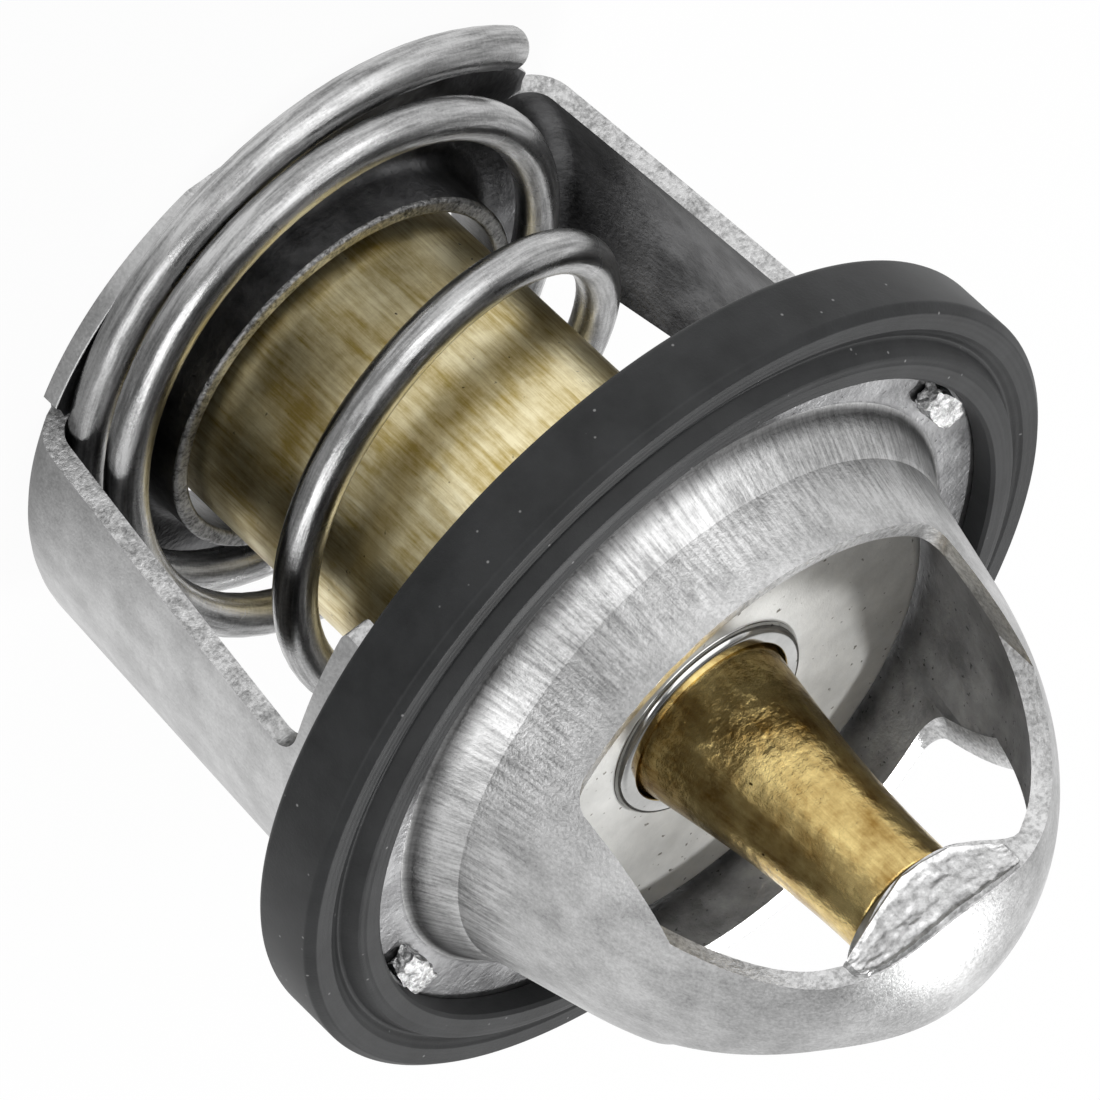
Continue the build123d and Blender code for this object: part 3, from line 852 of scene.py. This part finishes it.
def brass(name, light_hex, dark_hex, radius_mm, roughness, scored, wrinkle_mm, dent_mm):
    """Brass with axial draw scores, partly painted reflections, cloudy tarnish, wrinkles, dents and
    dark nicks.
    """
    material, tree, in_mm = new_finish(name)
    place, up = round_place(tree, in_mm, radius_mm, 0.07)
    scores = noise_at(tree, place, 3.0, 6.0, 0.7, flat=True)
    clouds = noise_at(tree, in_mm, 0.4, 6.0, 0.65)
    dents = noise_at(tree, in_mm, 0.9, 1.5, 0.5)
    wrinkles = noise_at(tree, in_mm, 1.9, 5.0, 0.6)
    nicks = noise_at(tree, in_mm, 2.2, 2.0, 0.5)
    tone = maths(tree, "ADD", maths(tree, "MULTIPLY", scores, scored), clouds)
    shade = blend(tree, span(tree, tone, 0.3 + scored / 2, 0.7 + scored / 2), dark_hex, light_hex)
    marked = blend(tree, span(tree, nicks, 0.22, 0.27), "#4a3714", shade)
    wrinkled = relief(tree, wrinkles, wrinkle_mm)
    grooved = relief(tree, scores, 0.02 * scored, wrinkled)
    uneven = relief(tree, dents, dent_mm, grooved)
    shine(tree, Base_Color=marked, Metallic=1.0, Roughness=roughness, Normal=uneven)
    return material


# Strong streaks along the axis: partly draw scores, partly painted reflections.
cup.data.materials.append(brass(
    "satin_drawn_brass", "#fff4cc", "#bca560", radius_mm=cup_r, roughness=0.34, scored=0.8,
    wrinkle_mm=0.01, dent_mm=0.03))
smooth(cup, 40)
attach(cup, "valve")
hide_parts("wax_cup")


# Guide and piston
# Bell-shaped brass tube, spun and burnished, that the steel piston slides in;
# the piston's tip sits in the boss of the bridge.
bore_r = 1.93
guide_base = crimp_under - 2.1
base_r = cup_inner_r - 0.05
funnel_r = 4.4
funnel_end = guide_base + 2.0
nose = (2.73, 15.3)
nose_foot = (nose[0], nose[1] - 0.3, 0)
bell = geometry.interpolate_bezier(
    Vector(nose_foot), Vector((nose[0], nose[1] - 4.5, 0)),
    Vector((3.25, 7.4, 0)), Vector((3.95, valve_top + 0.2, 0)), 24)
guide_outline = rounded([
    (guide_hub_r, valve_top, 0), (guide_hub_r, crimp_under, 0), (base_r, crimp_under, 0),
    (base_r, guide_base, 0), (funnel_r, guide_base, 0), (bore_r, funnel_end, 0),
    (bore_r, nose[1], 0.1), (*nose, 0.25), nose_foot,
], closed=False, steps=6)[:-1] + [Vector(point[:2]) for point in bell]
guide = turned("guide_tube", guide_outline)
guide.data.materials.append(brass(
    "burnished_brass", "#fae29c", "#88611c", radius_mm=3.2, roughness=0.2, scored=0.25,
    wrinkle_mm=0.045, dent_mm=0.07))
smooth(guide, 40)
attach(guide, "valve")
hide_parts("guide")

plug_length = 2.4
disc_sheet = 0.6
piston_r = 1.9
bevel = 0.3
piston_rear = funnel_end + plug_length + disc_sheet
piston_front = 16.5
piston_outline = [Vector(p) for p in (
    (0, piston_rear), (piston_r - bevel, piston_rear), (piston_r, piston_rear + bevel),
    (piston_r, piston_front - bevel), (piston_r - bevel, piston_front), (0, piston_front),
)]
piston = turned("piston_pin", piston_outline, closed=False, steps=96)
piston.data.materials.append(polished_steel("ground_steel", "#cfcfd2", "#b0b0b4", 0.2))
smooth(piston, 30)
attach(piston, "frame")
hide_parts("piston")


# Return spring
# Right-handed coned spring of 1.9 mm drawn steel wire; its rear turns are wide,
# closed and pushed to one side, and its last turn lies under the valve plate.
wire_r = 0.95
rear_turns, active_turns, front_turns = 1.3, 2.4, 1.0
front_coil_r = 9.9
rear_shift = (0.7, 1.9)
rear_bulge = 1.6
end_flare = 2.8
flare_turns = 0.24
start_angle = -143.0
flat_turns = 0.45
run_in = 0.15
close_pitch = 2 * wire_r + 0.06
climb_pitch = close_pitch / (1 - flat_turns)
all_turns = rear_turns + active_turns + front_turns
rise = valve_under - plate_front - 2 * wire_r - 0.1
open_pitch = (rise - close_pitch * (1 + front_turns)) / active_turns
strap_reach = cone(plate_front) - frame_sheet - 0.1 - wire_r
corner_x = math.sqrt(strap_reach ** 2 - strap_half[1] ** 2) - rear_shift[0]
corner_y = strap_half[1] - rear_shift[1]
corner_r = math.hypot(corner_x, corner_y)
rear_coil_r = corner_r - rear_bulge * (corner_y / corner_r) ** 2


def ease(value, start, end):
    """0 before start, 1 after end, and a smooth rise between."""
    share = min(max((value - start) / (end - start), 0), 1)
    return share * share * (3 - 2 * share)


def step_at(turn, middle):
    """0 before a turn and 1 after it, with the rise run in on both sides."""
    return ease(turn, middle - run_in, middle + run_in)


def pitch_at(turn):
    """Rise a turn: flat, a climb on to the first turn, open, and closed again in front."""
    climbing = step_at(turn, flat_turns) - step_at(turn, 1)
    opened = step_at(turn, rear_turns)
    closed = step_at(turn, rear_turns + active_turns)
    return climb_pitch * climbing + open_pitch * (opened - closed) + close_pitch * closed


def wire_centre(turn, z):
    """A point on the wire's centre line, in millimetres."""
    angle = math.radians(start_angle + 360 * turn)
    narrowing = ease(turn, rear_turns + 0.1, rear_turns + 0.65)
    shift_x = rear_shift[0] * (1 - ease(turn, rear_turns, rear_turns + 0.7))
    shift_y = rear_shift[1] * (1 - ease(turn, rear_turns - run_in, rear_turns + active_turns))
    flare = end_flare * max(1 - turn / flare_turns, 0) ** 2
    oval = rear_bulge * math.sin(angle) ** 2
    radius = (rear_coil_r + oval) * (1 - narrowing) + front_coil_r * narrowing + flare
    return Vector((shift_x + radius * math.cos(angle), -shift_y + radius * math.sin(angle), z))


steps = round(all_turns * 72)
centres = []
z = plate_front + wire_r + 0.05
for step in range(steps + 1):
    turn = step * all_turns / steps
    centres.append(wire_centre(turn, z))
    z += pitch_at(turn + all_turns / steps / 2) * all_turns / steps

bm = bmesh.new()
uv = bm.loops.layers.uv.new("wire")
around_count = 28
ring_verts = []
run = 0.0
runs = []
for step, centre in enumerate(centres):
    ahead = centres[min(step + 1, steps)] - centres[max(step - 1, 0)]
    run += (centre - centres[step - 1]).length if step else 0.0
    runs.append(run)
    facing = Matrix.Translation(centre * MM) @ ahead.to_track_quat("Z", "X").to_matrix().to_4x4()
    ring = bmesh.ops.create_circle(bm, segments=around_count, radius=wire_r * MM, matrix=facing)
    ring_verts.append(ring["verts"])
for step in range(steps):
    for k in range(around_count):
        after = (k + 1) % around_count
        face = bm.faces.new((ring_verts[step][k], ring_verts[step][after],
                             ring_verts[step + 1][after], ring_verts[step + 1][k]))
        corners = ((step, k), (step, k + 1), (step + 1, k + 1), (step + 1, k))
        for loop, (row, column) in zip(face.loops, corners):
            loop[uv].uv = (runs[row] / 10, column / around_count)
for end in (ring_verts[0], ring_verts[-1]):
    cap = bm.faces.new(end)
    bmesh.ops.bevel(bm, geom=list(cap.edges), offset=0.25 * MM, offset_type="OFFSET", segments=3,
                    profile=0.5, affect="EDGES", material=-1)
bmesh.ops.recalc_face_normals(bm, faces=bm.faces)
spring = piece_from("return_spring_wire", bm)

wire, tree, in_mm = new_finish("drawn_spring_wire")
flow = add(tree, "ShaderNodeUVMap", uv_map="wire").outputs[0]
ways = add(tree, "ShaderNodeSeparateXYZ", {"Vector": flow})
turn_angle = maths(tree, "MULTIPLY", ways.outputs["Y"], 2 * math.pi)
wire_place = add(tree, "ShaderNodeCombineXYZ", {
    "X": ways.outputs["X"],
    "Y": maths(tree, "COSINE", turn_angle),
    "Z": maths(tree, "SINE", turn_angle),
}).outputs[0]
streaks = noise_at(tree, wire_place, 2.6, 5.0, 0.65)
speckle = noise_at(tree, in_mm, 7.0, 3.0, 0.7)
worn = noise_at(tree, in_mm, 0.35, 3.0, 0.5)
tone = maths(tree, "ADD", maths(tree, "MULTIPLY", streaks, 0.8),
             maths(tree, "MULTIPLY", speckle, 0.2))
shade = blend(tree, span(tree, tone, 0.38, 0.6), "#7c7c7c", "#c6c6c6")
rough = span(tree, worn, 0.35, 0.65, 0.2, 0.34)
fine = relief(tree, speckle, 0.008, relief(tree, streaks, 0.015))
shine(tree, Base_Color=shade, Metallic=1.0, Roughness=rough, Normal=fine)
spring.data.materials.append(wire)
smooth(spring, 50)
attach(spring, "frame")
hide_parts("return_spring")
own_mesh(spring)


# Inside the wax element
# Wax pellet, clamped rubber diaphragm, stiff paste, rubber plug and its backup
# disc, all hidden in the cup and the guide.
def plain_finish(name, light_hex, dark_hex, roughness, grain_mm):
    """A moulded or cast material with a cloudy colour and a fine grain."""
    material, tree, in_mm = new_finish(name)
    shade = blend(tree, noise_at(tree, in_mm, 0.6), dark_hex, light_hex)
    grain = noise_at(tree, in_mm, 1 / grain_mm, 3.0)
    shine(tree, Base_Color=shade, Roughness=roughness, Normal=relief(tree, grain, 0.02))
    return material


hidden_finishes = {
    "wax_charge": plain_finish("pressed_copper_filled_wax", "#b9885a", "#9c6c42", 0.55, 0.3),
    "diaphragm": plain_finish("moulded_diaphragm_rubber", "#333333", "#242424", 0.6, 0.2),
    "transfer_paste": plain_finish("stiff_grease_paste", "#6a685e", "#55534a", 0.4, 0.4),
    "rubber_plug": plain_finish("moulded_plug_rubber", "#3a3432", "#2b2725", 0.6, 0.2),
    "backup_disc": plain_finish("turned_fluoropolymer", "#ecebe6", "#dedcd5", 0.45, 0.3),
}
for node_name, finish in hidden_finishes.items():
    node_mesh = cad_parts[node_name].data
    node_mesh.materials.clear()
    node_mesh.materials.append(finish)
